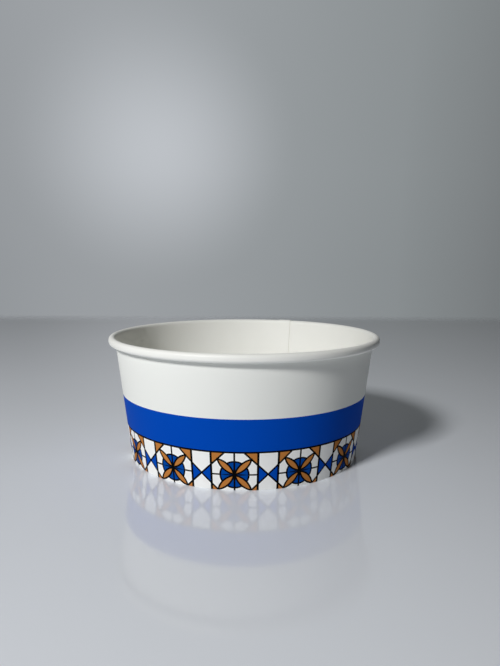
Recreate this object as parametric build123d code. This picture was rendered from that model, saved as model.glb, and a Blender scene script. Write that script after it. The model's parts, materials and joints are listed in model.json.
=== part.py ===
"""Round paper food bowl: a wrapped, lapped side wall with a rolled rim, sealed round a base disc.

Millimetres. The origin is the centre of the foot circle on the table, +Z is up, and the bowl's front
faces -Y. Azimuth is 0 degrees at the front and grows towards +X, anticlockwise from above.
"""
import os
from math import asin, atan2, cos, degrees, hypot, radians, sin, tan

from build123d import *

# Sizes over all
rim_diameter = 150.0  # over the outside of the rolled rim
foot_diameter = 127.5  # outside of the wall, where it meets the table
height = 66.8  # table to the top of the rolled rim

# Rolled rim
bead_width = 3.85  # from the wall's inner face to the outermost line
bead_height = 4.3  # top to bottom
tuck_gap = 0.1  # curled end of the sheet to the wall's outer face
tail_run = 0.6  # straight stretch of the curled end, up beside the wall

# Coated board
wall_board = 0.4
base_board = 0.34
seal_gap = 0.03  # coating between wall, skirt and hem

# Hem, folded in and up round the skirt of the base disc
hem_height = 7.0

# Base disc, an inverted shallow pan
base_recess = 8.6  # table to the underside of the disc
base_bend = 0.5  # outside of the bend from disc to skirt
skirt_clearance = 0.12  # end of the skirt to the folded sheet below it

# Lapped side seam
seam_azimuth = 155.0  # where the raw edge inside the bowl lies, in degrees
lap_width = 7.0
lap_rise = 0.3  # how much the doubled board swells the rolled rim
ramp_width = 1.6  # stretch in which the sheet bends up onto the lap

# Round bends are drawn as this many equal small bends, on the leading face of the board and on the other
curl_bends = (6, 4)
crease_bends = (1, 2)
disc_bends = (1, 2)

# The wall leans so that its outer face meets the foot circle and its inner face meets the rim
foot_radius = foot_diameter / 2
bead_middle = height - bead_height / 2
spread = rim_diameter / 2 - bead_width - foot_radius
lean = atan2(spread, bead_middle) + asin(wall_board / hypot(spread, bead_middle))
lean_degrees = degrees(lean)
wall_heading = 90 - lean_degrees

# Angles that the seam takes up round the bowl
mean_radius = (rim_diameter + foot_diameter) / 4
lap_angle = degrees(lap_width / mean_radius)
ramp_angle = degrees(ramp_width / mean_radius)


def wall_inside(level):
    """Radius of the wall's inner face at a height."""
    return foot_radius - wall_board / cos(lean) + level * tan(lean)


def board_face(start, heading, moves, face, offset):
    """Corner points of one face of a board, which lies `offset` to the right of its leading face.

    Each move is the length of a straight, then the radius of a bend, its turn to the left, and its
    number of small bends on each face. The small bends lie outside the arc and touch it.
    """
    direction = Vector(1, 0).rotate(Axis.Z, heading)
    point = Vector(*start) + direction.rotate(Axis.Z, -90) * offset
    points = [point]
    for length, radius, turn, bends in moves:
        point = point + direction * length
        small_turn = turn / bends[face] if turn else 0
        run = abs(tan(radians(small_turn / 2))) * (radius + (offset if turn > 0 else -offset))
        for _ in range(bends[face] if turn else 0):
            point = point + direction * run
            points.append(point)
            direction = direction.rotate(Axis.Z, small_turn)
            point = point + direction * run
    return points + [point]


def board_section(start, heading, moves, near, far):
    """Section of a board between two offsets from its leading face, upright in the XZ plane."""
    near_face = board_face(start, heading, moves, 0, near)
    far_face = board_face(start, heading, moves, 1, far)
    return Plane.XZ * make_face(Polyline(*near_face, *reversed(far_face), close=True))


def at_azimuth(azimuth, section):
    """Turn an upright section from +X to an azimuth."""
    return Rot(0, 0, azimuth - 90) * section


def sheet_section(layers, near, far):
    """Section of the side sheet, from its hem to its curled end, where the board has 1 or 2 layers.

    Its leading face is the one that touches the skirt, lines the bowl and shows on the rolled rim.
    """
    rise = (layers - 1) * lap_rise
    rim_radius = rim_diameter / 2 + rise
    bead_top = height + rise
    bead_bottom = height - bead_height
    fold_level = layers * wall_board
    slot = (base_board + 2 * seal_gap) / cos(lean)
    over_reach = (rim_radius - wall_inside(bead_top)) * cos(lean)
    over_radius = over_reach / (1 + cos(lean) - sin(lean))
    under_reach = (rim_radius - wall_inside(bead_bottom)) * cos(lean) - layers * wall_board - tuck_gap
    under_radius = under_reach / (1 + cos(lean) + sin(lean))
    wall_end = bead_top - over_radius * (1 - sin(lean))
    moves = [
        ((hem_height - fold_level) / cos(lean), 0, 90 + lean_degrees, crease_bends),
        (slot, 0, 90 - lean_degrees, crease_bends),
        ((wall_end - fold_level) / cos(lean), over_radius, lean_degrees - 180, curl_bends),
        (bead_top - bead_bottom - over_radius - under_radius, under_radius, -lean_degrees - 180, curl_bends),
        (tail_run, 0, 0, None),
    ]
    hem_edge = (wall_inside(hem_height) - slot, hem_height)
    return board_section(hem_edge, wall_heading - 180, moves, near, far)


def ramp(start, end):
    """Board that bends from one place to another, each given as an azimuth and an upright section."""
    return loft([at_azimuth(*start), at_azimuth(*end)], ruled=True)


def make_side_wall():
    """One sheet, wrapped round and sealed where its two ends lap, creased at the foot, curled at the rim."""
    plain = sheet_section(1, 0, wall_board)
    doubled = sheet_section(2, 0, 2 * wall_board)
    lower_layer = sheet_section(2, 0, wall_board)
    upper_layer = sheet_section(2, wall_board, 2 * wall_board)
    lap_end = seam_azimuth + lap_angle
    sweep = 360 - lap_angle - 2 * ramp_angle
    wrap = revolve(at_azimuth(lap_end + ramp_angle, plain), Axis.Z, sweep)
    lap = revolve(at_azimuth(seam_azimuth, doubled), Axis.Z, lap_angle)
    ramp_up = ramp((seam_azimuth - ramp_angle, plain), (seam_azimuth, upper_layer))
    ramp_down = ramp((lap_end, lower_layer), (lap_end + ramp_angle, plain))
    return wrap + lap + ramp_up + ramp_down


def make_base_disc():
    """Round sheet with its edge turned down as a skirt, which stands in the slot of the hem."""
    skirt_end = 2 * wall_board + skirt_clearance
    top = base_recess + base_board
    gap = seal_gap / cos(lean)
    setback = base_bend * tan(radians(90 + lean_degrees) / 2)
    moves = [
        ((top - skirt_end) / cos(lean) - setback, base_bend, 90 + lean_degrees, disc_bends),
        (wall_inside(top) - gap - setback, 0, 0, None),
    ]
    skirt_foot = (wall_inside(skirt_end) - gap, skirt_end)
    return revolve(board_section(skirt_foot, wall_heading, moves, -base_board, 0), Axis.Z)


parts = {
    "side_wall": make_side_wall(),
    "base_disc": make_base_disc(),
}
os.makedirs("parts", exist_ok=True)
for node, shape in parts.items():
    export_step(shape, f"parts/{node}.step")
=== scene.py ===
import json
from math import asin, atan2, cos, hypot, pi, radians, sin, tan

import bmesh
import bpy
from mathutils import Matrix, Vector

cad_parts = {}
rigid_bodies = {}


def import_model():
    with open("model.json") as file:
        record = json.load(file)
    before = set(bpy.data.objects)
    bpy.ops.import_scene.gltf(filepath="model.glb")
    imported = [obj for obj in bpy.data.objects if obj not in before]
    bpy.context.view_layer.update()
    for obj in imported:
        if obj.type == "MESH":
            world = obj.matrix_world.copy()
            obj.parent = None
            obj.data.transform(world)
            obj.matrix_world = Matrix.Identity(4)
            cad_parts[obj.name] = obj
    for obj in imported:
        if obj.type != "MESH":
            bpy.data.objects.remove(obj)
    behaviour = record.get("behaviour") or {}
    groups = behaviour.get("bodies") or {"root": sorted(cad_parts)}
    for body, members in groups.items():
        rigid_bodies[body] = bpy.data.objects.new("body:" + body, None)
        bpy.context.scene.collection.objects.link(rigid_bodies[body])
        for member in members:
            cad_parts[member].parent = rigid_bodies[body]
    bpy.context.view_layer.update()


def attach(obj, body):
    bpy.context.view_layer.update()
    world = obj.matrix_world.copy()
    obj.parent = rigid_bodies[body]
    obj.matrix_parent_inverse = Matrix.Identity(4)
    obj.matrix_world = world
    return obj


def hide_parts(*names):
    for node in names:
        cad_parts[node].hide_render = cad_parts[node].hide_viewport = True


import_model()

mm = 0.001

# Sizes of the bowl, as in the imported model
rim_diameter = 150.0 * mm
foot_diameter = 127.5 * mm
height = 66.8 * mm
bead_width = 3.85 * mm
bead_height = 4.3 * mm
tuck_gap = 0.1 * mm
tail_run = 0.6 * mm
wall_board = 0.4 * mm
base_board = 0.34 * mm
seal_gap = 0.03 * mm
hem_height = 7.0 * mm
base_recess = 8.6 * mm
base_bend = 0.5 * mm
skirt_clearance = 0.12 * mm
seam_azimuth = radians(155.0)
lap_width = 7.0 * mm
lap_rise = 0.3 * mm
ramp_width = 1.6 * mm
crease_radius = 0.06 * mm  # the model's folds are sharp, and a real one is a little round

# How finely straights are cut, and bends and sweeps are stepped
hem_cuts = 4
wall_cuts = 18
tail_cuts = 2
disc_cuts = 10
ramp_cuts = 4
crease_steps = 5
curl_steps = 18
lap_steps = 4
wrap_steps = 252
disc_steps = 192
weld = 0.001 * mm  # points closer than this are one
smooth_angle = radians(35)  # edges that turn more than this stay sharp

# Lean of the wall and angles of the seam
foot_radius = foot_diameter / 2
bead_middle = height - bead_height / 2
spread = rim_diameter / 2 - bead_width - foot_radius
lean = atan2(spread, bead_middle) + asin(wall_board / hypot(spread, bead_middle))
mean_radius = (rim_diameter + foot_diameter) / 4
lap_angle = lap_width / mean_radius
ramp_angle = ramp_width / mean_radius
lap_end = seam_azimuth + lap_angle

# Print on the outside, in millimetres: a blue band over a row of tiles
band_bottom = 19.75
band_top = 35.6
tile_middle = 8.1  # height of the middle of the row
tile_edge = 11.3  # from there to the line under the band
tile_period = radians(28.07)  # from flower to flower
tile_azimuth = radians(-3.46)  # of the flower in front
wide_tile = 21.7  # width of the tile that holds a flower
round_radius = 6.6  # disc behind the flower
ray_slope = 8.0  # length of the disc's dark rays, in half widths
petal_width = 3.9
petal_length = 12.1
petal_start = -0.3  # from the flower's middle
petal_radius = ((petal_length / 2) ** 2 + (petal_width / 2) ** 2) / petal_width
fold_depth = 0.6  # printed board this far inside the wall's face is the hem

# Widths of the printed lines
band_line = 1.1
tile_line = 1.05
slant_line = 0.85
centre_line = 0.85
cross_line = 0.8
petal_line = 0.85
round_line = 0.85

# Sizes of the board's texture, in millimetres; real fibres are ten times finer and would not show
fibre_size = 0.5
board_wave = 9.0
board_cloud = 14.0
film_bump = {"Strength": 0.06, "Distance": 0.2 * mm}
edge_bump = {"Strength": 0.4, "Distance": 0.1 * mm}

# Colours of the board and of the inks, in sRGB
board_white = "#F7F7F2"
board_shade = "#F3F3ED"
edge_cream = "#F2EFE6"
edge_shade = "#E8E4D8"
print_white = "#F0F1EC"
print_shade = "#EDEEE8"
# painted light: the tile row's white is paler than the print's white, painted bounce light from the floor
# on the lower wall
painted_bounce_white = "#F8F8F5"
ink_blue = "#0048B4"
ink_deep_blue = "#00469F"
ink_navy = "#04204A"
ink_ochre = "#BF7C3D"
ink_black = "#080706"
ink_grey = "#24211E"

# Gloss of the film on the white side, and on the printed side, which looks almost matt
board_gloss = {"Roughness": 0.5, "IOR": 1.5, "Specular IOR Level": 0.5}
print_gloss = {"Roughness": 0.55, "IOR": 1.5, "Specular IOR Level": 0.02}
edge_roughness = 0.85

# Floor, faded out in millimetres from its middle along a rounded square
floor_reach = 1200 * mm
floor_fade = {"From Min": 660.0, "From Max": 800.0}
floor_power = 6.0
floor_pale = "#E8ECF2"
floor_gloss = {"Roughness": 0.09, "IOR": 1.65}

# Backdrop: greys from left to right, paler in painted light on the left and darker in painted shade on the
# right, and shares of them by height, for all and for reflections, which paint its foot darker and its top
# lighter
backdrop_greys = [
    (-1.0, "#84888B"),
    (-0.4, "#999DA1"),
    (-0.17, "#A3A7AB"),
    (0.25, "#888E90"),
    (0.4, "#7F8385"),
    (1.0, "#4C4F52"),
]
backdrop_foot = {"From Min": -0.02, "From Max": 0.15, "To Min": 0.95, "To Max": 1.0}
backdrop_top = {"From Min": 0.40, "From Max": 0.60, "To Min": 1.0, "To Max": 1.8}
mirrored_foot = {"From Min": 0.08, "From Max": 0.30, "To Min": 0.78, "To Max": 1.0}

# Soft glow on the backdrop, behind the bowl on the left
glow_place = (-0.157, 0.97, 0.184)
glow_reach = 0.245
glow_pale = "#BDC1C6"

# Lamps: azimuth and elevation in degrees, distance and size in metres, watts, and if reflections show it
lamp_target = Vector((0, 0, height / 2))
lamps = [
    ("key_lamp", -36, 36, 1.2, 0.2, 11.3, True),
    ("back_fill", 170, 42, 1.6, 1.0, 1.6, False),
    ("under_fill", 0, -88, 0.33, 0.1, 0.18, False),
]

# Camera, fitted to the photograph: focal length in its pixels, angles in radians
photo_height = 666
camera_focus = 564.1
camera_sensor = 36.0
camera_near = 10 * mm
camera_place = (3.1 * mm, -317.5 * mm, 107.7 * mm)
camera_pitch = 0.1287
camera_roll = 0.0041


def wall_inside(level):
    """Radius of the wall's inner face at a height."""
    return foot_radius - wall_board / cos(lean) + level * tan(lean)


def turned(direction, angle):
    """A direction in an upright plane, turned to the left."""
    x = direction.x * cos(angle) - direction.y * sin(angle)
    y = direction.x * sin(angle) + direction.y * cos(angle)
    return Vector((x, y))


def draw_line(azimuth, start, heading, offset, moves):
    """Draw a line in the upright plane at an azimuth and leave all of it selected.

    The line lies `offset` to the right of a path. Each move along the path is a straight length and its
    cuts, then the radius, turn to the left and steps of a bend.
    """
    outwards = Vector((sin(azimuth), -cos(azimuth), 0))
    upwards = Vector((0, 0, 1))
    direction = Vector((cos(heading), sin(heading)))
    point = Vector(start) + turned(direction, -pi / 2) * offset
    place = outwards * point.x + upwards * point.y
    bpy.ops.mesh.select_all(action="DESELECT")
    bpy.ops.mesh.primitive_circle_add(vertices=3, radius=mm, location=place)
    bpy.ops.mesh.merge(type="CENTER")
    for length, cuts, radius, turn, steps in moves:
        for _ in range(cuts):
            stride = direction * (length / cuts)
            value = outwards * stride.x + upwards * stride.y
            bpy.ops.mesh.extrude_region_move(TRANSFORM_OT_translate={"value": value})
            point += stride
        if steps:
            side = 1 if turn > 0 else -1
            reach = turned(direction, side * pi / 2) * (radius + side * offset)
            centre = outwards * (point + reach).x + upwards * (point + reach).y
            bpy.ops.mesh.spin(steps=steps, angle=turn, center=centre, axis=upwards.cross(outwards))
            point += reach - turned(reach, turn)
            direction = turned(direction, turn)
    bpy.ops.mesh.select_linked(delimit=set())


def draw_sheet_line(azimuth, layers, offset):
    """Draw the side sheet from its hem to its curled end, `offset` outside the food face.

    The board has 1 or 2 layers there.
    """
    rise = (layers - 1) * lap_rise
    bead_top = height + rise
    bead_bottom = height - bead_height
    fold_level = layers * wall_board + (layers - 1) * seal_gap
    slot = (base_board + 2 * seal_gap) / cos(lean)
    over_reach = (rim_diameter / 2 + rise - wall_inside(bead_top)) * cos(lean)
    over_radius = over_reach / (1 + cos(lean) - sin(lean))
    under_reach = (rim_diameter / 2 + rise - wall_inside(bead_bottom)) * cos(lean)
    under_radius = (under_reach - layers * wall_board - tuck_gap) / (1 + cos(lean) + sin(lean))
    wall_end = bead_top - over_radius * (1 - sin(lean))
    first_setback = crease_radius * tan((pi / 2 + lean) / 2)
    second_setback = crease_radius * tan((pi / 2 - lean) / 2)
    hem = (hem_height - fold_level) / cos(lean) - first_setback
    fold = slot - first_setback - second_setback
    wall = (wall_end - fold_level) / cos(lean) - second_setback
    bead_side = bead_top - bead_bottom - over_radius - under_radius
    moves = [
        (hem, hem_cuts, crease_radius, pi / 2 + lean, crease_steps),
        (fold, 1, crease_radius, pi / 2 - lean, crease_steps),
        (wall, wall_cuts, over_radius, lean - pi, curl_steps),
        (bead_side, 1, under_radius, -lean - pi, curl_steps),
        (tail_run, tail_cuts, 0, 0, 0),
    ]
    hem_edge = (wall_inside(hem_height) - slot, hem_height)
    draw_line(azimuth, hem_edge, -pi / 2 - lean, offset, moves)


def spin_round(steps, angle):
    """Sweep the selected section round the bowl's axis, and leave its last place selected."""
    bpy.ops.mesh.spin(steps=steps, angle=angle, center=(0, 0, 0), axis=(0, 0, -1))


def add_section(piece, azimuth):
    """Add to the selection the edges that lie in the upright half plane at an azimuth."""
    mesh = bmesh.from_edit_mesh(piece.data)
    outwards = Vector((sin(azimuth), -cos(azimuth), 0))
    across = Vector((cos(azimuth), sin(azimuth), 0))
    for edge in mesh.edges:
        if all(abs(v.co.dot(across)) < weld and v.co.dot(outwards) > 0 for v in edge.verts):
            edge.select_set(True)
    bmesh.update_edit_mesh(piece.data)


def start_piece(name):
    """Start a piece as an empty mesh in edit mode."""
    bpy.ops.object.select_all(action="DESELECT")
    bpy.ops.mesh.primitive_circle_add(vertices=3, radius=mm)
    piece = bpy.context.object
    piece.name = name
    piece.data.name = name
    bpy.ops.object.mode_set(mode="EDIT")
    bpy.ops.mesh.delete(type="VERT")
    return piece


def finish_board(piece, thickness, inside_out, materials):
    """Turn the drawn face outwards and give the board its thickness behind it.

    The materials are those of the drawn face, of the other face and of the cut edge.
    """
    bpy.ops.mesh.select_all(action="SELECT")
    bpy.ops.mesh.remove_doubles(threshold=weld)
    bpy.ops.mesh.normals_make_consistent(inside=inside_out)
    bpy.ops.object.mode_set(mode="OBJECT")
    for material in materials:
        piece.data.materials.append(material)
    board = piece.modifiers.new("board", "SOLIDIFY")
    board.thickness = thickness
    board.offset = -1
    board.use_even_offset = True
    board.material_offset = 1
    board.material_offset_rim = 2
    bpy.ops.object.modifier_apply(modifier=board.name)
    bpy.ops.object.shade_smooth_by_angle(angle=smooth_angle)


def add_lap_layer(piece, far, near, plain, offset):
    """Draw a layer of the lap at its raw edge, sweep it across, and bend it to the plain sheet's edge."""
    draw_sheet_line(far, 2, offset)
    spin_round(lap_steps, near - far)
    add_section(piece, plain)
    bpy.ops.mesh.bridge_edge_loops(number_cuts=ramp_cuts, interpolation="LINEAR")


def make_side_wall(materials):
    """The printed sheet: wrapped, lapped, folded in at the foot and curled at the rim."""
    piece = start_piece("printed_side_wall")
    first_plain = lap_end + ramp_angle
    last_plain = seam_azimuth - ramp_angle
    draw_sheet_line(first_plain, 1, wall_board)
    spin_round(wrap_steps, last_plain + 2 * pi - first_plain)
    add_lap_layer(piece, lap_end, seam_azimuth, last_plain, 2 * wall_board + seal_gap)
    add_lap_layer(piece, seam_azimuth, lap_end, first_plain, wall_board)
    finish_board(piece, wall_board, True, materials)
    return piece


def make_base_disc(materials):
    """The base: a round sheet whose edge is turned down into the slot of the hem."""
    piece = start_piece("base_disc_board")
    skirt_end = 2 * wall_board + skirt_clearance
    top = base_recess + base_board
    gap = seal_gap / cos(lean)
    setback = base_bend * tan((pi / 2 + lean) / 2)
    skirt = (top - skirt_end) / cos(lean) - setback
    reach = wall_inside(top) - gap - setback
    moves = [(skirt, hem_cuts, base_bend, pi / 2 + lean, crease_steps), (reach, disc_cuts, 0, 0, 0)]
    draw_line(0, (wall_inside(skirt_end) - gap, skirt_end), pi / 2 - lean, 0, moves)
    spin_round(disc_steps, 2 * pi)
    finish_board(piece, base_board, False, materials)
    return piece


def linear(hex_colour):
    """An sRGB colour such as "#FFFFFF" as linear light."""
    channels = [int(hex_colour[i:i + 2], 16) / 255 for i in (1, 3, 5)]
    return (*[c / 12.92 if c <= 0.04045 else ((c + 0.055) / 1.055) ** 2.4 for c in channels], 1)


def add(tree, kind, inputs, **settings):
    """Add a node with its settings, and give its inputs their values or link them to nodes and sockets."""
    node = tree.nodes.new("ShaderNode" + kind)
    for name, value in settings.items():
        setattr(node, name, value)
    for key, value in inputs.items():
        if isinstance(key, int):
            place = node.inputs[key]
        else:
            place = next(i for i in node.inputs if i.enabled and i.name == key)
        if isinstance(value, bpy.types.Node):
            value = next(o for o in value.outputs if o.enabled)
        if isinstance(value, bpy.types.NodeSocket):
            tree.links.new(value, place)
        else:
            place.default_value = value
    return node


def new_material(name):
    """A material, its node tree, and the place on the piece in millimetres."""
    material = bpy.data.materials.new(name)
    material.use_nodes = True
    tree = material.node_tree
    tree.nodes.clear()
    metres = add(tree, "TexCoord", {}).outputs["Object"]
    place = add(tree, "VectorMath", {0: metres, "Scale": 1 / mm}, operation="SCALE")
    return material, tree, place


def finish_coated_board(tree, place, colour, gloss):
    """Coated cup board: a thin clear polymer film over pressed fibres, so satin, with faint long waves."""
    fibres = add(tree, "TexNoise", {"Vector": place, "Scale": 1 / fibre_size, "Detail": 3.0})
    waves = add(tree, "TexNoise", {"Vector": place, "Scale": 1 / board_wave, "Detail": 1.0})
    both = {"Factor": 0.5, "A": fibres.outputs["Fac"], "B": waves.outputs["Fac"]}
    relief = add(tree, "Mix", both, data_type="FLOAT")
    bump = add(tree, "Bump", {"Height": relief, **film_bump})
    surface = add(tree, "BsdfPrincipled", {"Base Color": colour, "Normal": bump, **gloss})
    add(tree, "OutputMaterial", {"Surface": surface})


def make_white_board():
    """The unprinted side of the cup board: clay coated and filmed, so an even white with a soft sheen."""
    material, tree, place = new_material("white_coated_cup_board")
    cloud = add(tree, "TexNoise", {"Vector": place, "Scale": 1 / board_cloud})
    whites = {"Factor": cloud.outputs["Fac"], "A": linear(board_white), "B": linear(board_shade)}
    colour = add(tree, "Mix", whites, data_type="RGBA")
    finish_coated_board(tree, place, colour, board_gloss)
    return material


def make_raw_edge():
    """The cut edge of the board: bare pressed fibres, a little creamier than the coat and quite rough."""
    material, tree, place = new_material("raw_board_edge")
    fibres = add(tree, "TexNoise", {"Vector": place, "Scale": 1 / fibre_size, "Detail": 3.0})
    creams = {"Factor": fibres.outputs["Fac"], "A": linear(edge_cream), "B": linear(edge_shade)}
    colour = add(tree, "Mix", creams, data_type="RGBA")
    bump = add(tree, "Bump", {"Height": fibres.outputs["Fac"], **edge_bump})
    finish = {"Base Color": colour, "Roughness": edge_roughness, "Normal": bump}
    surface = add(tree, "BsdfPrincipled", finish)
    add(tree, "OutputMaterial", {"Surface": surface})
    return material


def make_printed_board():
    """The printed side: offset inks under the film, so flat even colours with crisp black outlines."""
    material, tree, place = new_material("offset_printed_cup_board")
    split = add(tree, "SeparateXYZ", {"Vector": place})
    east, north, level = split.outputs
    flat = add(tree, "VectorMath", {0: place, 1: (1, 1, 0)}, operation="MULTIPLY")
    radius = add(tree, "VectorMath", {0: flat}, operation="LENGTH")
    # The printed face turns under at the foot and goes up the hem, so the way up turns round there
    face = {0: level, 1: tan(lean), 2: foot_radius / mm}
    face_radius = add(tree, "Math", face, operation="MULTIPLY_ADD")
    depth = add(tree, "Math", {0: face_radius, 1: radius}, operation="SUBTRACT")
    folded = add(tree, "Math", {0: depth, 1: fold_depth}, operation="GREATER_THAN")
    way = add(tree, "Math", {0: folded, 1: -2.0, 2: 1.0}, operation="MULTIPLY_ADD")
    way_up = add(tree, "Math", {0: level, 1: way}, operation="MULTIPLY")
    inwards = add(tree, "Math", {0: depth, 1: 0.0}, operation="MAXIMUM")
    up = add(tree, "Math", {0: way_up, 1: inwards}, operation="SUBTRACT")
    # The print starts at the outer raw edge of the lap and goes once round
    south = add(tree, "Math", {0: north, 1: -1.0}, operation="MULTIPLY")
    azimuth = add(tree, "Math", {0: east, 1: south}, operation="ARCTAN2")
    along = add(tree, "Math", {0: azimuth, 1: lap_end, 2: lap_end - 2 * pi}, operation="WRAP")
    from_tile = add(tree, "Math", {0: along, 1: tile_azimuth}, operation="SUBTRACT")
    one_tile = {0: from_tile, 1: tile_period / 2, 2: -tile_period / 2}
    in_tile = add(tree, "Math", one_tile, operation="WRAP")
    arc = add(tree, "Math", {0: in_tile, 1: foot_radius / mm}, operation="MULTIPLY")
    # Distances from the flower's middle, folded together because the four quarters are alike
    across = add(tree, "Math", {0: arc}, operation="ABSOLUTE")
    from_middle = add(tree, "Math", {0: up, 1: tile_middle}, operation="SUBTRACT")
    away = add(tree, "Math", {0: from_middle}, operation="ABSOLUTE")
    middle = add(tree, "CombineXYZ", {"X": across, "Y": away})
    from_centre = add(tree, "VectorMath", {0: middle}, operation="LENGTH")
    reach = add(tree, "Math", {0: across, 1: away}, operation="ADD")
    half_tile = tile_period / 2 * foot_radius / mm
    corner = add(tree, "Math", {0: half_tile, 1: reach}, operation="SUBTRACT")
    apart = add(tree, "Math", {0: across, 1: away}, operation="SUBTRACT")
    off_slant = add(tree, "Math", {0: apart}, operation="ABSOLUTE")
    # A petal lies on the slant between two equal arcs, which meet at its tips
    slant = 0.5 ** 0.5
    petal_middle = petal_start + petal_length / 2
    arc_middle = petal_radius - petal_width / 2
    petal_along = add(tree, "Math", {0: reach, 1: slant, 2: -petal_middle}, operation="MULTIPLY_ADD")
    petal_across = add(tree, "Math", {0: off_slant, 1: slant, 2: arc_middle}, operation="MULTIPLY_ADD")
    petal_place = add(tree, "CombineXYZ", {"X": petal_along, "Y": petal_across})
    from_arc = add(tree, "VectorMath", {0: petal_place}, operation="LENGTH")
    # Where each ink lies, from the first laid down to the last; the first is a paler white under the tile
    # row, which is painted bounce light from the floor on the lower wall, not an ink
    in_wide = add(tree, "Math", {0: across, 1: wide_tile / 2}, operation="LESS_THAN")
    in_narrow = add(tree, "Math", {0: across, 1: wide_tile / 2}, operation="GREATER_THAN")
    beyond = add(tree, "Math", {0: corner, 1: 0.0}, operation="LESS_THAN")
    within = add(tree, "Math", {0: corner, 1: 0.0}, operation="GREATER_THAN")
    level_line = add(tree, "Math", {0: away, 1: 0.0, 2: cross_line / 2}, operation="COMPARE")
    level_ray = add(tree, "Math", {0: away, 1: ray_slope, 2: across}, operation="MULTIPLY_ADD")
    upright_ray = add(tree, "Math", {0: across, 1: ray_slope, 2: away}, operation="MULTIPLY_ADD")
    band_middle = (band_bottom + band_top) / 2
    shapes = [
        ("LESS_THAN", {0: away, 1: tile_edge}, painted_bounce_white),
        ("MULTIPLY", {0: level_line, 1: in_wide}, ink_grey),
        ("LESS_THAN", {0: from_centre, 1: round_radius}, ink_deep_blue),
        ("LESS_THAN", {0: level_ray, 1: round_radius}, ink_navy),
        ("LESS_THAN", {0: upright_ray, 1: round_radius}, ink_navy),
        ("MULTIPLY", {0: in_wide, 1: beyond}, ink_ochre),
        ("MULTIPLY", {0: in_narrow, 1: within}, ink_blue),
        ("COMPARE", {0: from_centre, 1: round_radius, 2: round_line / 2}, ink_black),
        ("COMPARE", {0: across, 1: 0.0, 2: centre_line / 2}, ink_black),
        ("LESS_THAN", {0: from_arc, 1: petal_radius}, ink_black),
        ("LESS_THAN", {0: from_arc, 1: petal_radius - petal_line}, ink_ochre),
        ("COMPARE", {0: across, 1: wide_tile / 2, 2: tile_line / 2}, ink_black),
        ("COMPARE", {0: corner, 1: 0.0, 2: slant_line * slant}, ink_black),
        ("GREATER_THAN", {0: away, 1: tile_edge}, print_white),
        ("COMPARE", {0: away, 1: tile_edge, 2: band_line / 2}, ink_black),
        ("COMPARE", {0: up, 1: band_middle, 2: band_top - band_middle}, ink_blue),
    ]
    cloud = add(tree, "TexNoise", {"Vector": place, "Scale": 1 / board_cloud})
    whites = {"Factor": cloud.outputs["Fac"], "A": linear(print_white), "B": linear(print_shade)}
    colour = add(tree, "Mix", whites, data_type="RGBA")
    for operation, distances, ink in shapes:
        mask = add(tree, "Math", distances, operation=operation)
        colour = add(tree, "Mix", {"Factor": mask, "A": colour, "B": linear(ink)}, data_type="RGBA")
    finish_coated_board(tree, place, colour, print_gloss)
    return material


def make_floor():
    """A plain pale table top of glossy laminate, which mirrors the bowl softly and fades far away.

    It is clear from below and to the lamps' light, so a lamp under it lights the bowl's underside.
    """
    bpy.ops.object.select_all(action="DESELECT")
    bpy.ops.mesh.primitive_plane_add(size=2 * floor_reach)
    floor = bpy.context.object
    floor.name = "studio_floor"
    material, tree, place = new_material("pale_glossy_table_top")
    far = add(tree, "VectorMath", {0: place}, operation="ABSOLUTE")
    sides = add(tree, "SeparateXYZ", {"Vector": far})
    wide = add(tree, "Math", {0: sides.outputs["X"], 1: floor_power}, operation="POWER")
    deep = add(tree, "Math", {0: sides.outputs["Y"], 1: floor_power}, operation="POWER")
    total = add(tree, "Math", {0: wide, 1: deep}, operation="ADD")
    distance = add(tree, "Math", {0: total, 1: 1 / floor_power}, operation="POWER")
    fade = add(tree, "MapRange", {"Value": distance, **floor_fade}, interpolation_type="SMOOTHSTEP")
    below = add(tree, "NewGeometry", {}).outputs["Backfacing"]
    to_lamp = add(tree, "LightPath", {}).outputs["Is Shadow Ray"]
    let_through = add(tree, "Math", {0: below, 1: to_lamp}, operation="MAXIMUM")
    clear_share = add(tree, "Math", {0: fade, 1: let_through}, operation="MAXIMUM")
    surface = add(tree, "BsdfPrincipled", {"Base Color": linear(floor_pale), **floor_gloss})
    clear = add(tree, "BsdfTransparent", {})
    mixed = add(tree, "MixShader", {0: clear_share, 1: surface, 2: clear})
    add(tree, "OutputMaterial", {"Surface": mixed})
    floor.data.materials.append(material)


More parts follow.
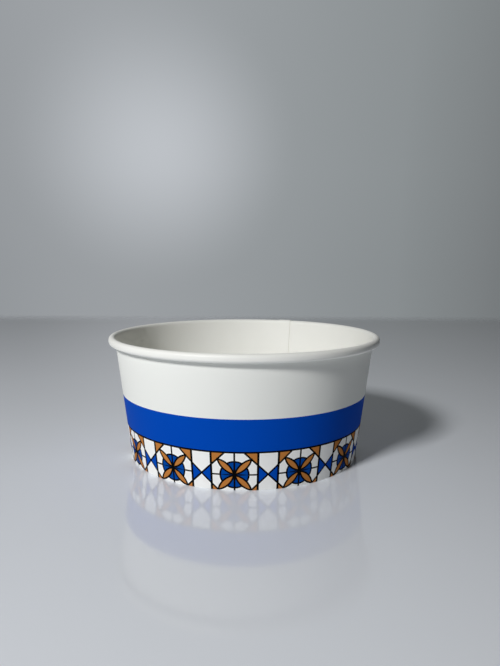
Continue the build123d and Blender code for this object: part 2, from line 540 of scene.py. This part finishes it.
def make_world():
    """A grey backdrop that only the camera and reflections see, so that the lamps alone give the light."""
    world = bpy.data.worlds.new("studio_backdrop")
    world.use_nodes = True
    tree = world.node_tree
    tree.nodes.clear()
    place = add(tree, "TexCoord", {}).outputs["Generated"]
    direction = add(tree, "SeparateXYZ", {"Vector": place})
    side = add(tree, "MapRange", {"Value": direction.outputs["X"], "From Min": -1.0})
    greys = add(tree, "ValToRGB", {"Fac": side})
    greys.color_ramp.interpolation = "B_SPLINE"
    for stop, grey in backdrop_greys[1:-1]:
        greys.color_ramp.elements.new((stop + 1) / 2)
    for element, (stop, grey) in zip(greys.color_ramp.elements, backdrop_greys):
        element.position = (stop + 1) / 2
        element.color = linear(grey)
    away = add(tree, "VectorMath", {0: place, 1: glow_place}, operation="DISTANCE").outputs["Value"]
    spread_out = {"Value": away, "From Max": glow_reach, "To Min": 1.0, "To Max": 0.0}
    glow = add(tree, "MapRange", spread_out, interpolation_type="SMOOTHSTEP")
    lit = add(tree, "Mix", {"Factor": glow, "A": greys, "B": linear(glow_pale)}, data_type="RGBA")
    # How light the backdrop is by height, with a darker foot in reflections
    level = direction.outputs["Z"]
    foot = add(tree, "MapRange", {"Value": level, **backdrop_foot})
    top = add(tree, "MapRange", {"Value": level, **backdrop_top})
    mirrored = add(tree, "MapRange", {"Value": level, **mirrored_foot})
    rays = add(tree, "LightPath", {})
    in_mirror = {"Factor": rays.outputs["Is Glossy Ray"], "A": 1.0, "B": mirrored}
    kept = add(tree, "Mix", in_mirror, data_type="FLOAT")
    rise = add(tree, "Math", {0: foot, 1: top}, operation="MULTIPLY")
    share = add(tree, "Math", {0: rise, 1: kept}, operation="MULTIPLY")
    shown = add(tree, "VectorMath", {0: lit, "Scale": share}, operation="SCALE")
    viewers = {0: rays.outputs["Is Camera Ray"], 1: rays.outputs["Is Glossy Ray"]}
    seen = add(tree, "Math", viewers, operation="MAXIMUM")
    backdrop = add(tree, "Background", {"Color": shown, "Strength": seen})
    add(tree, "OutputWorld", {"Surface": backdrop})
    bpy.context.scene.world = world


def add_lamp(name, azimuth, elevation, distance, size, watts, reflected):
    """A square soft lamp that looks at the bowl from a side and a height."""
    a, e = radians(azimuth), radians(elevation)
    back = Vector((sin(a) * cos(e), -cos(a) * cos(e), sin(e)))
    data = bpy.data.lights.new(name, "AREA")
    data.size = size
    data.energy = watts
    lamp = bpy.data.objects.new(name, data)
    lamp.location = lamp_target + back * distance
    lamp.rotation_mode = "QUATERNION"
    lamp.rotation_quaternion = back.to_track_quat("Z", "Y")
    lamp.visible_glossy = reflected
    bpy.context.collection.objects.link(lamp)


def add_camera():
    """The camera at the photograph's place: low in front, looking slightly down."""
    data = bpy.data.cameras.new("camera")
    data.sensor_width = camera_sensor
    data.lens = camera_focus / photo_height * camera_sensor
    data.clip_start = camera_near
    camera = bpy.data.objects.new("camera", data)
    camera.location = camera_place
    camera.rotation_mode = "ZYX"
    camera.rotation_euler = (pi / 2 - camera_pitch, 0, camera_roll)
    bpy.context.collection.objects.link(camera)
    bpy.context.scene.camera = camera


white_board = make_white_board()
raw_edge = make_raw_edge()
printed_board = make_printed_board()
side_wall = make_side_wall([printed_board, white_board, raw_edge])
base_disc = make_base_disc([white_board, white_board, raw_edge])
pieces = [(side_wall, "side_wall", "printed_board"), (base_disc, "base_disc", "base_board")]
for piece, node, slot_name in pieces:
    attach(piece, "root")
    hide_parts(node)
make_floor()
make_world()
for lamp in lamps:
    add_lamp(*lamp)
add_camera()
bpy.context.scene.view_settings.view_transform = "Standard"
